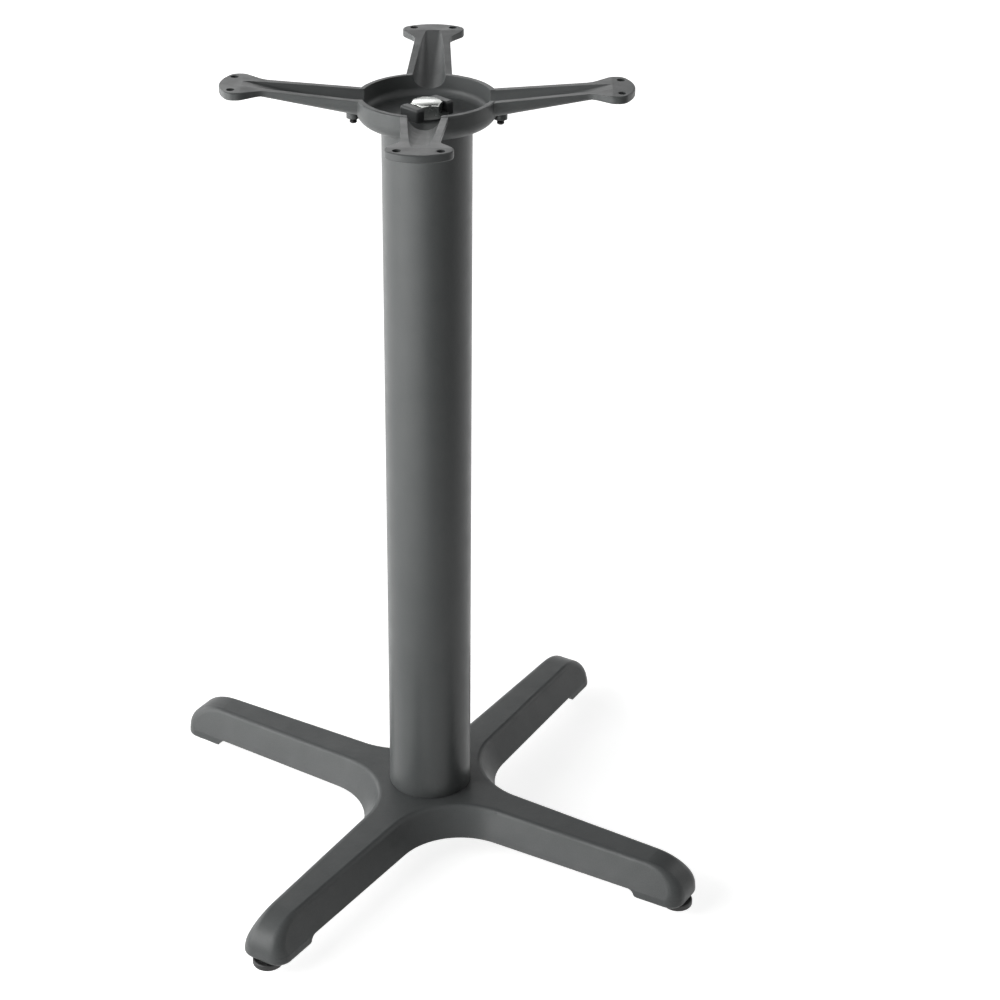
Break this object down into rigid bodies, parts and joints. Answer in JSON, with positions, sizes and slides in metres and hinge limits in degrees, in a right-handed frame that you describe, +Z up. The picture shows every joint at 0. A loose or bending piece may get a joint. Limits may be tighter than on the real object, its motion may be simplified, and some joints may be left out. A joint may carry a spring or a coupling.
{
  "type": "four star table base",
  "caption": "Pedestal table base: star of cast legs with levelling glides, round tube column and a cast spider with trough arms and screw flanges for a table top.",
  "frame": {"origin": "on the floor under the column's axis, with the glides screwed fully in", "axes": "+Z up along the column, +X and +Y along the spider's arms"},
  "size_m": [0.4926, 0.4926, 0.726],
  "materials": {
    "base_coat": "satin charcoal powder coat on iron casting",
    "column_coat": "satin charcoal powder coat on steel tube",
    "spider_coat": "satin charcoal powder coat on iron casting",
    "zinc_steel": "bright zinc plate",
    "black_steel": "black oxide",
    "black_nylon": "moulded black nylon"
  },
  "bodies": {
    "frame": {"base_casting": "base_coat", "column_tube": "column_coat", "top_spider": "spider_coat", "tie_bolt": "zinc_steel", "tie_washer": "zinc_steel", "tie_spring_washer": "zinc_steel", "tie_nut": "zinc_steel", "spider_screws": "black_steel"},
    "pad_1": {"glide_pad_1": "black_nylon"},
    "stud_1": {"glide_stud_1": "zinc_steel"},
    "pad_2": {"glide_pad_2": "black_nylon"},
    "stud_2": {"glide_stud_2": "zinc_steel"},
    "pad_3": {"glide_pad_3": "black_nylon"},
    "stud_3": {"glide_stud_3": "zinc_steel"},
    "pad_4": {"glide_pad_4": "black_nylon"},
    "stud_4": {"glide_stud_4": "zinc_steel"}
  },
  "joints": [
    {"name": "glide_travel_1", "type": "slide", "parent": "frame", "child": "pad_1", "axis": [0, 0, -1], "range_m": [0, 0.01]},
    {"name": "glide_turn_1", "type": "hinge", "parent": "pad_1", "child": "stud_1", "pos_m": [0.1342, 0.22966, 0.004], "axis": [0, 0, -1], "range_deg": [0, 2880]},
    {"name": "glide_travel_2", "type": "slide", "parent": "frame", "child": "pad_2", "axis": [0, 0, -1], "range_m": [0, 0.01]},
    {"name": "glide_turn_2", "type": "hinge", "parent": "pad_2", "child": "stud_2", "pos_m": [-0.22966, 0.1342, 0.004], "axis": [0, 0, -1], "range_deg": [0, 2880]},
    {"name": "glide_travel_3", "type": "slide", "parent": "frame", "child": "pad_3", "axis": [0, 0, -1], "range_m": [0, 0.01]},
    {"name": "glide_turn_3", "type": "hinge", "parent": "pad_3", "child": "stud_3", "pos_m": [-0.1342, -0.22966, 0.004], "axis": [0, 0, -1], "range_deg": [0, 2880]},
    {"name": "glide_travel_4", "type": "slide", "parent": "frame", "child": "pad_4", "axis": [0, 0, -1], "range_m": [0, 0.01]},
    {"name": "glide_turn_4", "type": "hinge", "parent": "pad_4", "child": "stud_4", "pos_m": [0.22966, -0.1342, 0.004], "axis": [0, 0, -1], "range_deg": [0, 2880]}
  ],
  "couplings": [
    {"joint": "glide_travel_1", "follows": "glide_turn_1", "m_per_rad": 0.00019894},
    {"joint": "glide_travel_2", "follows": "glide_turn_2", "m_per_rad": 0.00019894},
    {"joint": "glide_travel_3", "follows": "glide_turn_3", "m_per_rad": 0.00019894},
    {"joint": "glide_travel_4", "follows": "glide_turn_4", "m_per_rad": 0.00019894}
  ]
}
